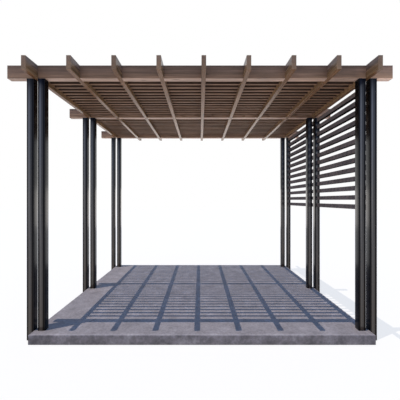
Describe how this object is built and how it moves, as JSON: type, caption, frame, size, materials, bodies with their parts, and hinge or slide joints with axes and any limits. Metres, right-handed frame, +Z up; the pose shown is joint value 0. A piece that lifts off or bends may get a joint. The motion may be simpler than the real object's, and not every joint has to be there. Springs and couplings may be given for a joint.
{
  "type": "slatted pergola",
  "caption": "Open garden pergola with a slatted timber roof on slim black steel posts, slatted metal side screens and a concrete ground slab.",
  "frame": {"origin": "on the ground under the middle of the roof", "axes": "+X to the right along the beams, +Y from the front to the back along the rafters, +Z up"},
  "size_m": [4.432, 3.446, 3.16],
  "materials": {
    "timber": "stained sawn timber",
    "black_steel": "satin black coating",
    "dark_metal": "satin dark bronze coating",
    "concrete": "smooth cast concrete"
  },
  "bodies": {
    "root": {"concrete_slab": "concrete", "front_left_outer_post": "black_steel", "front_left_inner_post": "black_steel", "front_right_inner_post": "black_steel", "front_right_outer_post": "black_steel", "front_beam": "timber", "middle_left_outer_post": "black_steel", "middle_left_inner_post": "black_steel", "middle_right_inner_post": "black_steel", "middle_right_outer_post": "black_steel", "middle_beam": "timber", "back_left_outer_post": "black_steel", "back_left_inner_post": "black_steel", "back_right_inner_post": "black_steel", "back_right_outer_post": "black_steel", "back_beam": "timber", "rafter_1": "timber", "rafter_2": "timber", "rafter_3": "timber", "rafter_4": "timber", "rafter_5": "timber", "rafter_6": "timber", "rafter_7": "timber", "rafter_8": "timber", "rafter_9": "timber", "front_bay_slats_1": "timber", "front_bay_slats_2": "timber", "front_bay_slats_3": "timber", "front_bay_slats_4": "timber", "front_bay_slats_5": "timber", "front_bay_slats_6": "timber", "front_bay_slats_7": "timber", "front_bay_slats_8": "timber", "right_screen_front_bay": "dark_metal", "back_bay_slats_1": "timber", "back_bay_slats_2": "timber", "back_bay_slats_3": "timber", "back_bay_slats_4": "timber", "back_bay_slats_5": "timber", "back_bay_slats_6": "timber", "back_bay_slats_7": "timber", "back_bay_slats_8": "timber", "right_screen_back_bay": "dark_metal"}
  },
  "joints": []
}
